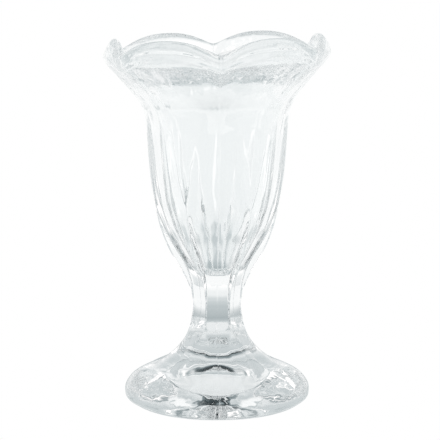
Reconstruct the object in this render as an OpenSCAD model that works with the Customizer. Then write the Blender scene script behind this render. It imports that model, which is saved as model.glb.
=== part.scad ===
// A footed parfait glass in clear pressed glass. Six petals flare out at the rim and curl up at the lip.
// Six long faces run up the stem and the bowl, and each ends at the notch between two petals.
// Lengths are in millimetres, +Z is up, and the origin is the centre of the face that rests on the table.
// Angles run around the glass from the notch that faces -Y.

/* [Heights] */
// Height of the foot, from the table to the lower end of the stem
foot_height = 31; // [27:0.5:36]
// Height of the stem, between the foot and the bowl
stem_height = 20; // [14:0.5:28]
// Height of the bowl, from the upper end of the stem to the petal tips
bowl_height = 104; // [94:1:116]
// Thickness of the solid glass between the stem and the floor of the cavity
floor_thickness = 4; // [3:0.5:7]

/* [Foot] */
// Radius of the foot over its lobes
foot_radius = 39.7; // [36:0.1:44]
// Radius of the hollow under the foot, inside the ring that rests on the table
hollow_radius = 18; // [12:0.5:22]
// Depth of that hollow at its middle
hollow_depth = 10.4; // [4:0.1:13]

/* [Stem] */
// Radius over the corners at the lower end of the stem
stem_base_radius = 11.8; // [10.8:0.1:14]
// Radius over the corners at the narrowest place
stem_waist_radius = 10.2; // [8:0.1:10.7]
// Radius over the corners at the upper end of the stem
stem_top_radius = 12.7; // [10.8:0.1:15]

/* [Bowl] */
// Radius of the straight part of the bowl over its ridges
body_radius = 29; // [27:0.1:32]
// Widest radius, over the petals
mouth_radius = 47.5; // [43:0.1:52]
// Radius of the cavity in the straight part of the bowl
cavity_radius = 22; // [19:0.1:23.5]
// Thickness of the glass where the petals flare out and at the lip
lip_thickness = 4.4; // [3.4:0.1:5]

/* [Petals] */
// Number of petals, and of faces on the stem
petals = 6; // [5:1:8]
// How far the notches between the petals lie below the petal tips
petal_dip = 5.6; // [2:0.1:7]
// How far the rim stands too high on the +X side, and too low on the -X side, at its widest radius
rim_lean = 1.2; // [0:0.1:2]

/* [Hidden] */

glass_colour = [0.86, 0.91, 0.90, 0.45];
// Steps around each petal, and steps between one row of an outline and the next
steps_per_petal = 12;
steps_per_row = 2;
half_petal = 180 / petals;
ring_size = petals * steps_per_petal;

stem_foot_z = foot_height;
stem_bowl_z = foot_height + stem_height;
tip_z = stem_bowl_z + bowl_height;
floor_z = stem_bowl_z + floor_thickness;

// How sharply a petal rises from its notch, and how round the bottom of the notch is
petal_power_share = 2.4;
notch_round_share = 0.07;
// How far the corners of the stem and the ridges of the bowl are rounded off, as a share of their radius
corner_round_share = 0.02;
// Half width of the rib that stands between two faces of the neck, as a share of half a face
rib_width_share = 0.06;
// The curve between rows can take the dip share below zero, so it is held at this much
least_dip_share = 0.02;

// An outline is a list of rows: height, radius over the ridge at mid petal, radius at mid face, then how much
// the row takes of the petal shape, of the petal dip and of the rim's lean, each from 0 to 1.
// The ridge radius of the foot is the radius at the stem plus a share of what is left to the foot's radius.
// Height share, radius share, face radius as a share of the ridge radius, petal share
foot_shares = [
    [0.000, 0.700, 0.988, 1.0],
    [0.008, 0.870, 0.988, 1.0],
    [0.048, 0.980, 0.988, 1.0],
    [0.106, 1.000, 0.984, 1.0],
    [0.168, 0.996, 0.978, 1.0],
    [0.232, 0.957, 0.980, 1.0],
    [0.306, 0.880, 0.960, 1.0],
    [0.394, 0.706, 0.956, 1.0],
    [0.490, 0.477, 0.935, 0.85],
    [0.597, 0.308, 0.937, 0.45],
    [0.716, 0.170, 0.955, 0.3],
    [0.855, 0.061, 0.970, 0.3],
    [1.000, 0.000, 0.870, 0.0]
];

// The hollow under the foot is a bell: its height falls off with a power of the radius. The steps are shares
// of its radius, and its edge is where the flat ring starts.
hollow_step_shares = [0.01, 0.12, 0.24, 0.36, 0.48, 0.60, 0.72, 0.84, 0.95];
hollow_power_share = 1.85;
hollow_edge_share = 1.03;

// Rings on the flat face that rests on the table, as shares of its width from the hollow outwards
rest_shares = [0.2, 0.5, 0.8];

// Height share, share of the way from the waist radius to the radius at the nearer end
stem_shares = [
    [0.25, 0.31, 0.850],
    [0.50, 0.00, 0.850],
    [0.75, 0.32, 0.820]
];

// The bowl below the flare: height share, share of the way from the stem's radius to the body's, face share
body_shares = [
    [0.000, 0.000, 0.765],
    [0.048, 0.160, 0.720],
    [0.096, 0.350, 0.720],
    [0.149, 0.520, 0.760],
    [0.212, 0.675, 0.810],
    [0.279, 0.785, 0.850],
    [0.356, 0.877, 0.890],
    [0.442, 0.951, 0.917],
    [0.529, 1.000, 0.932]
];

// The flare: height share, share of the way from the body's radius to the mouth's, face share, petal share,
// dip share, lean share
flare_shares = [
    [0.615, 0.032, 0.949, 0.0, 0.00, 0.0],
    [0.673, 0.065, 0.967, 0.0, 0.00, 0.1],
    [0.721, 0.135, 0.978, 0.2, 0.00, 0.5],
    [0.764, 0.278, 0.980, 0.6, 0.05, 0.9],
    [0.812, 0.495, 0.972, 1.0, 0.15, 1.0],
    [0.861, 0.735, 0.963, 1.0, 0.30, 1.0],
    [0.900, 0.930, 0.960, 1.0, 0.50, 1.0],
    [0.930, 1.000, 0.978, 1.0, 0.80, 1.0],
    [0.960, 0.945, 1.022, 1.0, 0.95, 1.0],
    [0.986, 0.860, 1.082, 1.0, 1.00, 1.0]
];

// The cavity, from its floor up: share of the way from the floor to the tips, share of the cavity's radius
cavity_shares = [
    [0.000, 0.12],
    [0.006, 0.22],
    [0.030, 0.32],
    [0.065, 0.41],
    [0.105, 0.51],
    [0.150, 0.62],
    [0.205, 0.76],
    [0.270, 0.86],
    [0.340, 0.92],
    [0.430, 0.965],
    [0.525, 1.00],
    [0.600, 1.03]
];

// The inside of the flare, from the throat up, each row set off by the lip's thickness from a row of the
// flare: which row, how much of the thickness goes inwards and how much goes upwards, petal share
inside_flare_shares = [
    [1, -1.60, 0.00, 0.0],
    [2, -1.60, 0.15, 0.1],
    [3, -1.60, 0.50, 0.5],
    [4, -1.30, 0.75, 0.9],
    [5, -0.85, 0.62, 1.0],
    [6, -0.75, 0.40, 1.0],
    [7, -0.96, 0.26, 1.0],
    [8, -0.98, 0.08, 1.0]
];

// The crest of the lip: share of the lip's thickness inwards from the last row of the flare
crest_in_share = 0.42;
crest_inner_share = 0.80;
crest_inner_drop_share = 0.13;

function mix(a, b, share) = a + (b - a) * share;

// Radius at mid face in an outline row, from its ridge radius
function outline_row(z, ridge, face_share, petal, dip, lean) =
    [z, ridge, ridge * face_share, petal, dip, lean];

// A round row, the same radius all the way round
function round_row(z, radius) = [z, radius, radius, 1, 0, 0];

rest_outer_radius = mix(stem_base_radius, foot_radius, foot_shares[0][1]);

hollow_rows = concat(
    [
        for (s = hollow_step_shares)
            round_row(hollow_depth * (1 - pow(s, hollow_power_share)), s * hollow_radius)
    ],
    [round_row(0, hollow_edge_share * hollow_radius)],
    [for (s = rest_shares) round_row(0, mix(hollow_radius, rest_outer_radius, s))]
);

foot_rows = [
    for (s = foot_shares)
        outline_row(s[0] * foot_height, mix(stem_base_radius, foot_radius, s[1]), s[2], s[3], 0, 0)
];

function stem_end_radius(share) = share < 0.5 ? stem_base_radius : stem_top_radius;

stem_rows = [
    for (s = stem_shares)
        outline_row(
            stem_foot_z + s[0] * stem_height,
            mix(stem_waist_radius, stem_end_radius(s[0]), s[1]),
            s[2], 0, 0, 0
        )
];

body_rows = [
    for (s = body_shares)
        outline_row(
            stem_bowl_z + s[0] * bowl_height,
            mix(stem_top_radius, body_radius, s[1]),
            s[2], 0, 0, 0
        )
];

flare_rows = [
    for (s = flare_shares)
        outline_row(
            stem_bowl_z + s[0] * bowl_height,
            mix(body_radius, mouth_radius, s[1]),
            s[2], s[3], s[4], s[5]
        )
];

last_flare_row = flare_rows[len(flare_rows) - 1];

function set_in(row, inwards, upwards) =
    [row[0] + upwards, row[1] - inwards, row[2] - inwards, row[3], row[4], row[5]];

crest_rise = tip_z - last_flare_row[0];
crest_row = set_in(last_flare_row, crest_in_share * lip_thickness, crest_rise);
crest_inner_row = set_in(
    last_flare_row,
    crest_inner_share * lip_thickness,
    crest_rise - crest_inner_drop_share * lip_thickness
);

inside_flare_rows = [
    for (s = inside_flare_shares)
        let (row = flare_rows[s[0]])
        let (moved = set_in(row, -s[1] * lip_thickness, s[2] * lip_thickness))
        [moved[0], moved[1], mix(moved[1], moved[2], s[3]), 1, row[4], row[5]]
];

cavity_rows = [
    for (s = cavity_shares)
        round_row(mix(floor_z, tip_z, s[0]), s[1] * cavity_radius)
];

function reversed(rows) = [for (i = [len(rows) - 1:-1:0]) rows[i]];

// The outside, from the hollow under the foot to the crest, then the inside down to the cavity's floor
outside_rows = concat(hollow_rows, foot_rows, stem_rows, body_rows, flare_rows, [crest_row]);
inside_rows = concat(
    [crest_row, crest_inner_row],
    reversed(inside_flare_rows),
    reversed(cavity_rows)
);

// Where each sub-part starts and ends along the outside
stem_first = len(hollow_rows) + len(foot_rows) - 1;
bowl_first = stem_first + len(stem_rows) + 1;
outside_last = len(outside_rows) - 1;
inside_last = len(inside_rows) - 1;

// A row between two others, on a smooth curve through all of them, but never below the table
function row_or_mirror(rows, i) =
    i < 0 ? 2 * rows[0] - rows[1]
    : i >= len(rows) ? 2 * rows[len(rows) - 1] - rows[len(rows) - 2]
    : rows[i];

function curve_row(rows, at) =
    let (i = min(floor(at), len(rows) - 2))
    let (s = at - i)
    let (before = row_or_mirror(rows, i - 1))
    let (from = rows[i])
    let (to = rows[i + 1])
    let (after = row_or_mirror(rows, i + 2))
    let (slope = to - before)
    let (bend = 2 * before - 5 * from + 4 * to - after)
    let (twist = 3 * from - before - 3 * to + after)
    let (row = from + (slope * s + bend * s * s + twist * s * s * s) / 2)
    [max(0, row[0]), row[1], row[2], row[3], row[4], row[5]];

// The smaller of two radii, with the corner between them rounded off
function rounded_smaller(a, b, corner) =
    let (share = min(1, max(0, 0.5 + (b - a) / (2 * corner))))
    mix(b, a, share) - corner * share * (1 - share);

// Angle from the nearest notch
function from_notch(angle) = abs(angle - 2 * half_petal * round(angle / (2 * half_petal)));

// Height of a petal's arch, from 0 at a notch to 1 at mid petal
function softened(share) =
    (sqrt(share * share + notch_round_share * notch_round_share) - notch_round_share)
    / (sqrt(1 + notch_round_share * notch_round_share) - notch_round_share);

function petal_arch(angle) =
    1 - pow(1 - softened(from_notch(angle) / half_petal), petal_power_share);

// Height of the rib at a ridge that stands out further than the corner between two flat faces
function rib(ridge, face, angle) =
    let (from_ridge = 1 - from_notch(angle) / half_petal)
    max(0, ridge - face / cos(half_petal)) * exp(-pow(from_ridge / rib_width_share, 2));

// One point of a ring: flat faces with ridges or ribs where the petal share is 0, petals where it is 1.
// Low on the flare a notch is narrow, and it widens up to the crest.
function ring_point(row, angle) =
    let (arch = petal_arch(angle))
    let (notch = pow(1 - arch, 1 / max(least_dip_share, row[4])))
    let (flat_face = row[2] / cos(from_notch(angle)))
    let (smooth_face = rounded_smaller(flat_face, row[1], corner_round_share * row[1]))
    let (faceted = smooth_face + rib(row[1], row[2], angle))
    let (petalled = mix(row[2], row[1], arch))
    let (r = mix(faceted, petalled, max(0, min(1, row[3]))))
    let (x = r * sin(angle))
    [
        x,
        -r * cos(angle),
        row[0] - petal_dip * row[4] * notch + rim_lean * row[5] * x / mouth_radius
    ];

function ring(row) = [for (k = [0:ring_size - 1]) ring_point(row, k * 360 / ring_size)];

// Rows from one index to another along an outline, in even steps
function rows_between(rows, first, last) =
    [for (i = [0:(last - first) * steps_per_row]) curve_row(rows, first + i / steps_per_row)];

// A closed skin over a stack of rings. Each end is a flat fan around a middle point.
module skin(rows) {
    ring_points = [for (row = rows) each ring(row)];
    last_ring = (len(rows) - 1) * ring_size;
    first_middle = len(ring_points);
    last_middle = first_middle + 1;
    middles = [[0, 0, rows[0][0]], [0, 0, rows[len(rows) - 1][0]]];
    first_end = [for (k = [0:ring_size - 1]) [first_middle, k, (k + 1) % ring_size]];
    last_end = [
        for (k = [0:ring_size - 1]) [last_middle, last_ring + (k + 1) % ring_size, last_ring + k]
    ];
    sides = [
        for (i = [0:len(rows) - 2], k = [0:ring_size - 1])
            let (here = i * ring_size + k)
            let (beside = i * ring_size + (k + 1) % ring_size)
            each [
                [here, here + ring_size, beside],
                [beside, here + ring_size, beside + ring_size]
            ]
    ];
    polyhedron(concat(ring_points, middles), concat(first_end, last_end, sides));
}

module bowl() {
    inside_down = rows_between(inside_rows, 0, inside_last);
    color(glass_colour)
        skin(concat(
            rows_between(outside_rows, bowl_first, outside_last),
            [for (i = [1:len(inside_down) - 1]) inside_down[i]]
        ));
}

module stem() {
    color(glass_colour) skin(rows_between(outside_rows, stem_first, bowl_first));
}

module foot() {
    color(glass_colour) skin(rows_between(outside_rows, 0, stem_first));
}

bowl();
stem();
foot();
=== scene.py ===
# A footed parfait glass in clear pressed glass, standing in a white studio.
# The glass is one skin, made of rings from the hollow under the foot, up the outside, over the lip and down
# to the floor of the cavity. It is cut into three pieces at the planes where bowl, stem and foot meet.
# Lengths are in metres, and angles run around the glass from the notch that faces -Y.

import math

import bpy
import numpy as np
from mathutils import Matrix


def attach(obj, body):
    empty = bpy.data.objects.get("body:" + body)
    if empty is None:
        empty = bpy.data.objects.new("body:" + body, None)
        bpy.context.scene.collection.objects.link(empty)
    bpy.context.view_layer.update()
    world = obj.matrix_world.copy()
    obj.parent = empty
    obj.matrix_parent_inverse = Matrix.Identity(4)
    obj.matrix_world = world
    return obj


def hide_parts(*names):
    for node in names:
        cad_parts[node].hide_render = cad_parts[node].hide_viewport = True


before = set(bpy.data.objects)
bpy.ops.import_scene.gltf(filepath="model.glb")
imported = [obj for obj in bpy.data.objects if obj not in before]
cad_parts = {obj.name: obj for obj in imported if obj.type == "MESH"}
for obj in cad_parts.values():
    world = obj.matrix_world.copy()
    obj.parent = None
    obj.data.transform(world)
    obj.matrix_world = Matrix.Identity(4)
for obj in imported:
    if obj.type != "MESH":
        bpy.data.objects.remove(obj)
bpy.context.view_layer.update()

MM = 0.001
UP = (0, 0, 1)
DOWN = (0, 0, -1)
# The fourth value of a colour
OPAQUE = 1
WHITE = (1, 1, 1, OPAQUE)

# Sizes of the glass
FOOT_HEIGHT = 31 * MM
STEM_HEIGHT = 20 * MM
BOWL_HEIGHT = 104 * MM
FLOOR_THICKNESS = 4 * MM
FOOT_RADIUS = 39.7 * MM
HOLLOW_RADIUS = 18 * MM
HOLLOW_DEPTH = 10.4 * MM
STEM_BASE_RADIUS = 11.8 * MM
STEM_WAIST_RADIUS = 10.2 * MM
STEM_TOP_RADIUS = 12.7 * MM
BODY_RADIUS = 29 * MM
MOUTH_RADIUS = 47.5 * MM
CAVITY_RADIUS = 22 * MM
LIP_THICKNESS = 4.4 * MM
PETALS = 6
PETAL_DIP = 5.6 * MM
RIM_LEAN = 1.2 * MM

# Heights above the table of the two planes, the petals' tips and the floor of the cavity
STEM_FOOT_Z = FOOT_HEIGHT
STEM_BOWL_Z = FOOT_HEIGHT + STEM_HEIGHT
TIP_Z = STEM_BOWL_Z + BOWL_HEIGHT
FLOOR_Z = STEM_BOWL_Z + FLOOR_THICKNESS

# How sharply a petal rises from its notch, and how round the bottom of the notch is, as a share of half a
# petal. Then how far the stem's corners and the bowl's ridges are rounded off, as a share of their radius.
PETAL_POWER_SHARE = 2.4
NOTCH_ROUND_SHARE = 0.07
CORNER_ROUND_SHARE = 0.02
# Half width of the rib that stands between two faces of the neck, as a share of half a face
RIB_WIDTH_SHARE = 0.06

# The curve between rows can take the dip share below zero, so it is held at this much
LEAST_DIP_SHARE = 0.02

# Rings have this many points, and there are this many steps from each row of an outline to the next
RING_SIZE = 360
STEPS_PER_ROW = 8

# Height share, radius share, face radius as a share of the ridge radius, petal share
FOOT_SHARES = [
    (0.000, 0.700, 0.988, 1.0),
    (0.008, 0.870, 0.988, 1.0),
    (0.048, 0.980, 0.988, 1.0),
    (0.106, 1.000, 0.984, 1.0),
    (0.168, 0.996, 0.978, 1.0),
    (0.232, 0.957, 0.980, 1.0),
    (0.306, 0.880, 0.960, 1.0),
    (0.394, 0.706, 0.956, 1.0),
    (0.490, 0.477, 0.935, 0.85),
    (0.597, 0.308, 0.937, 0.45),
    (0.716, 0.170, 0.955, 0.3),
    (0.855, 0.061, 0.970, 0.3),
    (1.000, 0.000, 0.870, 0.0),
]

# The waist is halfway up the stem
WAIST_HEIGHT_SHARE = 0.50
# Height share, share of the way from the waist radius to the nearer end's, face share
STEM_SHARES = [
    (0.25, 0.31, 0.850),
    (WAIST_HEIGHT_SHARE, 0.00, 0.850),
    (0.75, 0.32, 0.820),
]

# Height share, share of the way from the stem's radius to the body's, face share
BODY_SHARES = [
    (0.000, 0.000, 0.765),
    (0.048, 0.160, 0.720),
    (0.096, 0.350, 0.720),
    (0.149, 0.520, 0.760),
    (0.212, 0.675, 0.810),
    (0.279, 0.785, 0.850),
    (0.356, 0.877, 0.890),
    (0.442, 0.951, 0.917),
    (0.529, 1.000, 0.932),
]

# Height share, share of the way from the body's radius to the mouth's, face share, petal, dip and lean shares
FLARE_SHARES = [
    (0.615, 0.032, 0.949, 0.0, 0.00, 0.0),
    (0.673, 0.065, 0.967, 0.0, 0.00, 0.1),
    (0.721, 0.135, 0.978, 0.2, 0.00, 0.5),
    (0.764, 0.278, 0.980, 0.6, 0.05, 0.9),
    (0.812, 0.495, 0.972, 1.0, 0.15, 1.0),
    (0.861, 0.735, 0.963, 1.0, 0.30, 1.0),
    (0.900, 0.930, 0.960, 1.0, 0.50, 1.0),
    (0.930, 1.000, 0.978, 1.0, 0.80, 1.0),
    (0.960, 0.945, 1.022, 1.0, 0.95, 1.0),
    (0.986, 0.860, 1.082, 1.0, 1.00, 1.0),
]

# The crest of the lip, as shares of the lip's thickness: inwards from the last row of the flare to its top
# row and to its inner row, and downwards from the top row to the inner one
CREST_IN_SHARE = 0.42
CREST_INNER_SHARE = 0.80
CREST_INNER_DROP_SHARE = 0.13

# The inside of the flare: row of the flare, shares of the lip's thickness outwards and upwards, petal share
INSIDE_FLARE_SHARES = [
    (8, -0.98, 0.08, 1.0),
    (7, -0.96, 0.26, 1.0),
    (6, -0.75, 0.40, 1.0),
    (5, -0.85, 0.62, 1.0),
    (4, -1.30, 0.75, 0.9),
    (3, -1.60, 0.50, 0.5),
    (2, -1.60, 0.15, 0.1),
    (1, -1.60, 0.00, 0.0),
]

# The cavity, downwards: share of the way from its floor to the tips, share of its radius
CAVITY_SHARES = [
    (0.600, 1.03),
    (0.525, 1.00),
    (0.430, 0.965),
    (0.340, 0.92),
    (0.270, 0.86),
    (0.205, 0.76),
    (0.150, 0.62),
    (0.105, 0.51),
    (0.065, 0.41),
    (0.030, 0.32),
    (0.006, 0.22),
    (0.000, 0.12),
    (0.000, 0.01),
]

# The hollow under the foot is a bell: its height falls off with a power of the radius. The steps are shares
# of its radius, and its edge is where the flat ring starts.
HOLLOW_STEP_SHARES = [0.01, 0.12, 0.24, 0.36, 0.48, 0.60, 0.72, 0.84, 0.95]
HOLLOW_POWER_SHARE = 1.85
HOLLOW_EDGE_SHARE = 1.03
# The flat ring that rests on the table, as shares of its width
REST_RING_SHARES = [0.2, 0.5, 0.8]


def mix(a, b, share):
    """The value that is this share of the way from a to b."""
    return a + (b - a) * share


def outline_row(z, ridge, face_share, petal=0.0, dip=0.0, lean=0.0):
    """A row of an outline: its height, its radius at the ridges and in the middles of the faces, and how much
    it has of the petals' shape, of their dips at the notches and of the lean."""
    return [z, ridge, ridge * face_share, petal, dip, lean]


def round_row(z, radius):
    """A row of an outline that is a level circle."""
    return outline_row(z, radius, face_share=1.0, petal=1.0)


def hollow_rows():
    """The underside of the foot, from the middle of its hollow to the outer edge of the ring it rests on."""
    rows = []
    for share in HOLLOW_STEP_SHARES:
        rows.append(round_row(HOLLOW_DEPTH * (1 - share**HOLLOW_POWER_SHARE), share * HOLLOW_RADIUS))
    rows.append(round_row(0.0, HOLLOW_EDGE_SHARE * HOLLOW_RADIUS))
    rest_radius = mix(STEM_BASE_RADIUS, FOOT_RADIUS, FOOT_SHARES[0][1])
    for share in REST_RING_SHARES:
        rows.append(round_row(0.0, mix(HOLLOW_RADIUS, rest_radius, share)))
    return rows


def outside_rows():
    """The outside, from the ring that rests on the table to the last row below the crest."""
    rows = []
    for height, radius, face, petal in FOOT_SHARES:
        ridge = mix(STEM_BASE_RADIUS, FOOT_RADIUS, radius)
        rows.append(outline_row(height * FOOT_HEIGHT, ridge, face, petal))
    for height, radius, face in STEM_SHARES:
        end_radius = STEM_BASE_RADIUS if height < WAIST_HEIGHT_SHARE else STEM_TOP_RADIUS
        ridge = mix(STEM_WAIST_RADIUS, end_radius, radius)
        rows.append(outline_row(STEM_FOOT_Z + height * STEM_HEIGHT, ridge, face))
    for height, radius, face in BODY_SHARES:
        ridge = mix(STEM_TOP_RADIUS, BODY_RADIUS, radius)
        rows.append(outline_row(STEM_BOWL_Z + height * BOWL_HEIGHT, ridge, face))
    return rows + flare_rows()


def flare_rows():
    """The outside of the flare, up to the last row below the crest."""
    rows = []
    for height, radius, face, petal, dip, lean in FLARE_SHARES:
        ridge = mix(BODY_RADIUS, MOUTH_RADIUS, radius)
        rows.append(outline_row(STEM_BOWL_Z + height * BOWL_HEIGHT, ridge, face, petal, dip, lean))
    return rows


def set_in(row, inwards, upwards):
    """A row moved inwards and upwards."""
    z, ridge, face, petal, dip, lean = row
    return [z + upwards, ridge - inwards, face - inwards, petal, dip, lean]


def inside_rows():
    """The crest of the lip, the inside of the flare and the cavity down to the middle of its floor."""
    flare = flare_rows()
    crest_rise = TIP_Z - flare[-1][0]
    rows = [
        set_in(flare[-1], CREST_IN_SHARE * LIP_THICKNESS, crest_rise),
        set_in(
            flare[-1],
            CREST_INNER_SHARE * LIP_THICKNESS,
            crest_rise - CREST_INNER_DROP_SHARE * LIP_THICKNESS,
        ),
    ]
    for index, outwards, upwards, petal in INSIDE_FLARE_SHARES:
        moved = set_in(flare[index], -outwards * LIP_THICKNESS, upwards * LIP_THICKNESS)
        z, ridge, face, _, dip, lean = moved
        rows.append([z, ridge, mix(ridge, face, petal), 1.0, dip, lean])
    for height, radius in CAVITY_SHARES:
        rows.append(round_row(mix(FLOOR_Z, TIP_Z, height), radius * CAVITY_RADIUS))
    return rows


def smooth_rows(rows):
    """Rows in even steps along a smooth curve through all of the given rows, but never below the table."""
    rows = np.array(rows)
    padded = np.vstack([2 * rows[0] - rows[1], rows, 2 * rows[-1] - rows[-2]])
    last_row = len(rows) - 1
    places = np.linspace(0, last_row, last_row * STEPS_PER_ROW + 1)
    row = np.minimum(places.astype(int), last_row - 1)
    share = (places - row)[:, None]
    # A Catmull-Rom curve from start to end
    before, start, end, after = padded[row], padded[row + 1], padded[row + 2], padded[row + 3]
    slope = end - before
    bend = 2 * before - 5 * start + 4 * end - after
    twist = 3 * start - before - 3 * end + after
    smooth = start + (slope * share + bend * share**2 + twist * share**3) / 2
    smooth[:, 0] = np.maximum(smooth[:, 0], 0)
    return smooth


def rounded_smaller(a, b, corner):
    """The smaller of two radii, with the corner between them rounded off."""
    share = np.clip(0.5 + (b - a) / (2 * corner), 0, 1)
    return mix(b, a, share) - corner * share * (1 - share)


def ring_points(rows):
    """The points of all rings, as an array of rows by points by coordinates."""
    angle = np.arange(RING_SIZE) * 2 * math.pi / RING_SIZE
    half_petal = math.pi / PETALS
    from_notch = np.abs(angle - 2 * half_petal * np.round(angle / (2 * half_petal)))
    softened = np.hypot(from_notch / half_petal, NOTCH_ROUND_SHARE) - NOTCH_ROUND_SHARE
    softened /= math.hypot(1, NOTCH_ROUND_SHARE) - NOTCH_ROUND_SHARE
    arch = 1 - np.maximum(1 - softened, 0) ** PETAL_POWER_SHARE
    z, ridge, face, petal, dip, lean = np.split(rows, rows.shape[1], axis=1)
    faceted = rounded_smaller(face / np.cos(from_notch), ridge, CORNER_ROUND_SHARE * ridge)
    rib_height = np.maximum(ridge - face / math.cos(half_petal), 0)
    from_ridge = 1 - from_notch / half_petal
    faceted = faceted + rib_height * np.exp(-((from_ridge / RIB_WIDTH_SHARE) ** 2))
    petalled = mix(face, ridge, arch)
    radius = mix(faceted, petalled, np.clip(petal, 0, 1))
    x = radius * np.sin(angle)
    y = -radius * np.cos(angle)
    # Low on the flare a notch is narrow, and it widens up to the crest
    narrowing = 1 / np.maximum(dip, LEAST_DIP_SHARE)
    notch = (1 - arch) ** narrowing
    height = z - PETAL_DIP * dip * notch + RIM_LEAN * lean * x / MOUTH_RADIUS
    return np.stack([x, y, height], axis=2)


def ring_normals(points):
    """Outward normals of the skin at every point of every ring."""
    along = np.gradient(points, axis=0)
    around = np.roll(points, -1, axis=1) - np.roll(points, 1, axis=1)
    normals = np.cross(around, along)
    return normals / np.linalg.norm(normals, axis=2, keepdims=True)


def piece_faces(rows):
    """The faces between neighbouring rings, then a fan on the first ring and one on the last. The middles of
    the two fans are the points after the rings."""
    here = np.arange(RING_SIZE)
    beside = (here + 1) % RING_SIZE
    sides = []
    for row in range(rows - 1):
        low = row * RING_SIZE
        high = low + RING_SIZE
        sides.append(np.stack([low + here, low + beside, high + beside, high + here], axis=1))
    first_middle = np.full(RING_SIZE, rows * RING_SIZE)
    last_middle = first_middle + 1
    last = (rows - 1) * RING_SIZE
    first_fan = np.stack([first_middle, beside, here], axis=1)
    last_fan = np.stack([last_middle, last + here, last + beside], axis=1)
    return np.concatenate(sides).tolist(), first_fan.tolist(), last_fan.tolist()


def fan_normal(normals, material, weld_normal):
    """The direction of a fan: straight out if it is a weld, and otherwise the mean of its ring's normals."""
    if material is weld:
        return np.array(weld_normal)
    whole = normals.mean(axis=0)
    return whole / np.linalg.norm(whole)


def make_piece(name, node, first_row, last_row, first_material, last_material):
    """A closed piece of the skin, from one row of rings to another. A flat fan closes each end."""
    points = skin_points[first_row : last_row + 1]
    normals = skin_normals[first_row : last_row + 1]
    middles = [points[0].mean(axis=0), points[-1].mean(axis=0)]
    sides, first_fan, last_fan = piece_faces(len(points))
    faces = sides + first_fan + last_fan
    mesh = bpy.data.meshes.new(name)
    mesh.from_pydata(np.vstack([points.reshape(-1, 3), middles]).tolist(), [], faces)

    materials = [glass, weld]
    for material in materials:
        mesh.materials.append(material)
    material_index = [materials.index(glass)] * len(sides)
    material_index += [materials.index(first_material)] * len(first_fan)
    material_index += [materials.index(last_material)] * len(last_fan)
    mesh.polygons.foreach_set("material_index", material_index)
    mesh.polygons.foreach_set("use_smooth", [True] * len(faces))

    first_normal = fan_normal(normals[0], first_material, DOWN)
    last_normal = fan_normal(normals[-1], last_material, UP)
    corners = np.concatenate([np.ravel(part) for part in (sides, first_fan, last_fan)])
    corner_normals = np.vstack([normals.reshape(-1, 3), first_normal, last_normal])[corners]
    first_fan_start = np.size(sides)
    last_fan_start = first_fan_start + np.size(first_fan)
    corner_normals[first_fan_start:last_fan_start] = first_normal
    corner_normals[last_fan_start:] = last_normal
    mesh.normals_split_custom_set(corner_normals.tolist())

    piece = bpy.data.objects.new(name, mesh)
    bpy.context.scene.collection.objects.link(piece)
    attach(piece, "root")
    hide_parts(node)


def new_material(name):
    material = bpy.data.materials.new(name)
    material.use_nodes = True
    material.node_tree.nodes.clear()
    return material, material.node_tree.nodes, material.node_tree.links


def one_axis(nodes, links, vector, axis):
    """One of the axes X, Y and Z of a vector."""
    split = nodes.new("ShaderNodeSeparateXYZ")
    links.new(vector, split.inputs["Vector"])
    return split.outputs[axis]


def without_sign(nodes, links, value):
    """How far a value is from zero."""
    size = nodes.new("ShaderNodeMath")
    size.operation = "ABSOLUTE"
    links.new(value, size.inputs[0])
    return size.outputs["Value"]


def change(nodes, links, value, start, end, first=0, last=1, smooth=False):
    """Goes from a first to a last value as the given one goes from start to end, and stays there."""
    to_range = nodes.new("ShaderNodeMapRange")
    if smooth:
        to_range.interpolation_type = "SMOOTHSTEP"
    to_range.inputs["From Min"].default_value = start
    to_range.inputs["From Max"].default_value = end
    to_range.inputs["To Min"].default_value = first
    to_range.inputs["To Max"].default_value = last
    links.new(value, to_range.inputs["Value"])
    return to_range.outputs["Result"]


def blend_colours(nodes, links, share, first, second):
    """The first colour where the share is 0 and the second where it is 1. Each is fixed or made by nodes."""
    both = nodes.new("ShaderNodeMix")
    both.data_type = "RGBA"
    links.new(share, both.inputs["Factor"])
    for name, colour in (("A", first), ("B", second)):
        if isinstance(colour, tuple):
            both.inputs[name].default_value = colour
        else:
            links.new(colour, both.inputs[name])
    return both.outputs["Result"]


def bump(nodes, links, relief, height):
    """A surface raised by a relief, which runs from 0 to 1, times a height."""
    raised = nodes.new("ShaderNodeBump")
    raised.inputs["Strength"].default_value = 1
    raised.inputs["Distance"].default_value = height
    links.new(relief, raised.inputs["Height"])
    return raised


GLASS_IOR = 1.52
# The tint of the glass varies a little between two colours, with about this many patches to a metre
TINTS = ((0.942, 0.958, 0.960, OPAQUE), (0.952, 0.968, 0.970, OPAQUE))
TINT_SCALE = 40
# Faint waves in the surface, about this many to a metre, and stretched upwards. In the foot, below one
# height, they have a share of their strength, and above another height all of it.
WAVE_SCALE = 260
WAVE_DETAIL = 1
WAVE_STRETCH_SHARES = (1, 1, 0.05)
WAVE_HEIGHT = 0.22 * MM
FOOT_WAVE_SHARE = 0.4
WEAK_WAVES_Z = 35 * MM
FULL_WAVES_Z = 60 * MM
# The mould seams, at the front and at the back
SEAM_HALF_WIDTH = 0.35 * MM
SEAM_HEIGHT = 0.08 * MM


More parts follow.
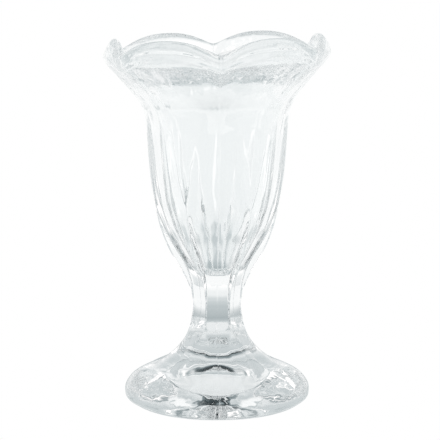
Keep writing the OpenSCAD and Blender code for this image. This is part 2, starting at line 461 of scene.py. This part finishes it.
def make_glass():
    """Clear pressed glass: smooth, slightly cool, with faint waves that run up it, and two mould seams."""
    material, nodes, links = new_material("clear pressed glass")
    output = nodes.new("ShaderNodeOutputMaterial")
    shader = nodes.new("ShaderNodeBsdfPrincipled")
    shader.inputs["Transmission Weight"].default_value = 1
    shader.inputs["IOR"].default_value = GLASS_IOR
    shader.inputs["Roughness"].default_value = 0
    links.new(shader.outputs["BSDF"], output.inputs["Surface"])

    place = nodes.new("ShaderNodeTexCoord").outputs["Object"]
    tint = nodes.new("ShaderNodeTexNoise")
    tint.inputs["Scale"].default_value = TINT_SCALE
    links.new(place, tint.inputs["Vector"])
    links.new(blend_colours(nodes, links, tint.outputs["Fac"], *TINTS), shader.inputs["Base Color"])

    stretch = nodes.new("ShaderNodeMapping")
    stretch.inputs["Scale"].default_value = WAVE_STRETCH_SHARES
    links.new(place, stretch.inputs["Vector"])
    waves = nodes.new("ShaderNodeTexNoise")
    waves.inputs["Scale"].default_value = WAVE_SCALE
    waves.inputs["Detail"].default_value = WAVE_DETAIL
    links.new(stretch.outputs["Vector"], waves.inputs["Vector"])
    wave_bump = bump(nodes, links, waves.outputs["Fac"], WAVE_HEIGHT)
    height = one_axis(nodes, links, place, "Z")
    strength = change(nodes, links, height, WEAK_WAVES_Z, FULL_WAVES_Z, first=FOOT_WAVE_SHARE)
    links.new(strength, wave_bump.inputs["Strength"])

    from_seam = without_sign(nodes, links, one_axis(nodes, links, place, "X"))
    seam = change(nodes, links, from_seam, 0, SEAM_HALF_WIDTH, first=1, last=0, smooth=True)
    seam_bump = bump(nodes, links, seam, SEAM_HEIGHT)
    links.new(wave_bump.outputs["Normal"], seam_bump.inputs["Normal"])
    links.new(seam_bump.outputs["Normal"], shader.inputs["Normal"])
    return material


def make_weld():
    """The plane where two pieces join hot: glass runs on through it, so it can't be seen."""
    material, nodes, links = new_material("hot weld")
    output = nodes.new("ShaderNodeOutputMaterial")
    shader = nodes.new("ShaderNodeBsdfTransparent")
    links.new(shader.outputs["BSDF"], output.inputs["Surface"])
    return material


# The glass
glass = make_glass()
weld = make_weld()
below = hollow_rows()
outside = outside_rows()
inside = inside_rows()
skin_points = ring_points(smooth_rows(below + outside + inside))
skin_normals = ring_normals(skin_points)
stem_row = (len(below) + len(FOOT_SHARES) - 1) * STEPS_PER_ROW
bowl_row = stem_row + (len(STEM_SHARES) + 1) * STEPS_PER_ROW
make_piece("glass_foot", "foot", 0, stem_row, glass, weld)
make_piece("glass_stem", "stem", stem_row, bowl_row, weld, weld)
make_piece("glass_bowl", "bowl", bowl_row, len(skin_points) - 1, weld, glass)

# The camera looks slightly down, from a little to the left of the front notch. Its angles are in radians,
# and its lens and its shift to the side are measured in pixels of a picture of this width.
CAMERA_DISTANCE = 599.1 * MM
CAMERA_HEIGHT = 181.3 * MM
CAMERA_TURN = math.radians(2.0)
CAMERA_DOWN = 0.172
PICTURE_PIXELS = 440
FOCAL_PIXELS = 1431
SHIFT_PIXELS = 3


def make_camera():
    camera_data = bpy.data.cameras.new("camera")
    camera_data.lens = FOCAL_PIXELS / PICTURE_PIXELS * camera_data.sensor_width
    camera_data.shift_x = SHIFT_PIXELS / PICTURE_PIXELS
    camera = bpy.data.objects.new("camera", camera_data)
    camera.location = (
        -CAMERA_DISTANCE * math.sin(CAMERA_TURN),
        -CAMERA_DISTANCE * math.cos(CAMERA_TURN),
        CAMERA_HEIGHT,
    )
    camera.rotation_euler = (math.pi / 2 - CAMERA_DOWN, 0, -CAMERA_TURN)
    bpy.context.scene.collection.objects.link(camera)
    bpy.context.scene.camera = camera


# Red, green and blue of a grey in the studio, as powers of its brightness
COOL_POWER_SHARES = (1.12, 0.98, 0.94)
# The studio behind the glass, beside it and in front of it: pairs of height and brightness, where the
# height runs from 0 straight down over 0.5 at the horizon to 1 straight up
BACK_STOPS = [
    (0.40, 1.11),
    (0.55, 1.03),
    (0.63, 0.65),
    (0.74, 0.82),
    (0.83, 0.30),
    (0.91, 0.04),
    (0.97, 0.01),
]
SIDE_STOPS = [
    (0.40, 0.35),
    (0.55, 0.74),
    (0.65, 1.40),
    (0.74, 0.36),
    (0.83, 1.03),
    (0.91, 0.42),
    (0.97, 0.01),
]
FRONT_STOPS = [
    (0.40, 1.00),
    (0.55, 0.72),
    (0.65, 0.80),
    (0.74, 0.42),
    (0.83, 0.88),
    (0.91, 0.30),
    (0.97, 0.01),
]
# Angles from straight behind the glass between which one gives way to the next
BACK_TO_SIDE = (25, 50)
SIDE_TO_FRONT = (95, 125)


def studio_grey(level):
    """The colour of a grey in the studio: the darker it is, the cooler."""
    return tuple(level**power for power in COOL_POWER_SHARES) + (OPAQUE,)


def ramp(nodes, links, value, stops):
    """A smooth grey ramp over a value, from pairs of place and brightness."""
    curve = nodes.new("ShaderNodeValToRGB")
    curve.color_ramp.interpolation = "EASE"
    elements = curve.color_ramp.elements
    while len(elements) < len(stops):
        elements.new(0)
    for element, (place, level) in zip(elements, stops):
        element.position = place
        element.color = studio_grey(level)
    links.new(value, curve.inputs["Fac"])
    return curve.outputs["Color"]


def white_to_camera(nodes, links, light):
    """White where the camera sees it directly, and of its own brightness for the glass."""
    seen = nodes.new("ShaderNodeLightPath").outputs["Is Camera Ray"]
    return blend_colours(nodes, links, seen, light, WHITE)


def make_world():
    """The studio around the glass, whose light changes with the height and from behind to before it."""
    world = bpy.data.worlds.new("studio")
    bpy.context.scene.world = world
    world.use_nodes = True
    nodes = world.node_tree.nodes
    links = world.node_tree.links
    nodes.clear()
    output = nodes.new("ShaderNodeOutputWorld")
    background = nodes.new("ShaderNodeBackground")
    links.new(background.outputs["Background"], output.inputs["Surface"])

    direction = nodes.new("ShaderNodeTexCoord").outputs["Generated"]
    # The Z of a direction is -1 straight down and 1 straight up
    height = change(nodes, links, one_axis(nodes, links, direction, "Z"), -1, 1)
    level_direction = nodes.new("ShaderNodeCombineXYZ")
    for axis in ("X", "Y"):
        links.new(one_axis(nodes, links, direction, axis), level_direction.inputs[axis])
    unit_direction = nodes.new("ShaderNodeVectorMath")
    unit_direction.operation = "NORMALIZE"
    links.new(level_direction.outputs["Vector"], unit_direction.inputs[0])
    backwards = one_axis(nodes, links, unit_direction.outputs["Vector"], "Y")

    light = ramp(nodes, links, height, FRONT_STOPS)
    for stops, angles in ((SIDE_STOPS, SIDE_TO_FRONT), (BACK_STOPS, BACK_TO_SIDE)):
        near, far = [math.cos(math.radians(angle)) for angle in angles]
        share = change(nodes, links, backwards, far, near, smooth=True)
        light = blend_colours(nodes, links, share, light, ramp(nodes, links, height, stops))
    links.new(white_to_camera(nodes, links, light), background.inputs["Color"])


# The floor reaches this far from the middle on each side, and lies a little below the glass
FLOOR_HALF = 3000 * MM
FLOOR_GAP = 0.2 * MM
# Its brightness, as pairs of a share of this distance from the middle and a level. This is painted light: a
# painted shadow of the glass, darkest a little outside the foot, with painted light through the glass under
# its hollow.
FLOOR_REACH = 1200 * MM
FLOOR_PAINTED_LIGHT_STOPS = [
    (0.000, 0.93),
    (0.015, 0.86),
    (0.030, 0.66),
    (0.060, 0.46),
    (0.112, 0.56),
    (0.180, 0.64),
    (0.265, 0.72),
    (0.350, 0.94),
    (0.600, 1.04),
    (1.000, 1.16),
]
# Off to the sides the floor's painted glow is brighter, outside a band of painted shadow behind and before
# the glass: where that starts and ends, from the middle, and its brightness
FLOOR_SIDE_START = 30 * MM
FLOOR_SIDE_END = 90 * MM
FLOOR_SIDE_LEVEL = 1.0


def make_floor_material():
    """White to the camera. For the glass the table glows with painted light: a painted shadow of the glass
    near it, painted light through the glass under its hollow, and a brighter painted glow off to the sides.
    """
    material, nodes, links = new_material("white table with painted glow and shadow")
    output = nodes.new("ShaderNodeOutputMaterial")
    glow = nodes.new("ShaderNodeEmission")
    links.new(glow.outputs["Emission"], output.inputs["Surface"])
    place = nodes.new("ShaderNodeNewGeometry").outputs["Position"]
    away = nodes.new("ShaderNodeVectorMath")
    away.operation = "LENGTH"
    links.new(place, away.inputs[0])
    # Painted shadow of the glass on the table, with painted light through the glass under its hollow
    reach = change(nodes, links, away.outputs["Value"], 0, FLOOR_REACH)
    painted_shadow_and_light_near_glass = ramp(nodes, links, reach, FLOOR_PAINTED_LIGHT_STOPS)
    # Off to the sides a brighter painted glow takes the place of the painted shadow
    off_middle = without_sign(nodes, links, one_axis(nodes, links, place, "X"))
    to_side = change(nodes, links, off_middle, FLOOR_SIDE_START, FLOOR_SIDE_END, smooth=True)
    light = blend_colours(nodes, links, to_side, painted_shadow_and_light_near_glass, studio_grey(FLOOR_SIDE_LEVEL))
    links.new(white_to_camera(nodes, links, light), glow.inputs["Color"])
    return material


def make_floor():
    mesh = bpy.data.meshes.new("floor")
    corners = [(-1, -1), (1, -1), (1, 1), (-1, 1)]
    points = [(x * FLOOR_HALF, y * FLOOR_HALF, -FLOOR_GAP) for x, y in corners]
    mesh.from_pydata(points, [], [(0, 1, 2, 3)])
    mesh.materials.append(make_floor_material())
    floor = bpy.data.objects.new("floor", mesh)
    bpy.context.scene.collection.objects.link(floor)


make_camera()
make_world()
make_floor()

# Light passes many faces of the glass before it reaches the camera, and runs round inside the foot
LIGHT_BOUNCES = 120
scene = bpy.context.scene
scene.cycles.max_bounces = LIGHT_BOUNCES
scene.cycles.transmission_bounces = LIGHT_BOUNCES
scene.cycles.glossy_bounces = LIGHT_BOUNCES
scene.cycles.transparent_max_bounces = LIGHT_BOUNCES
scene.view_settings.view_transform = "Standard"
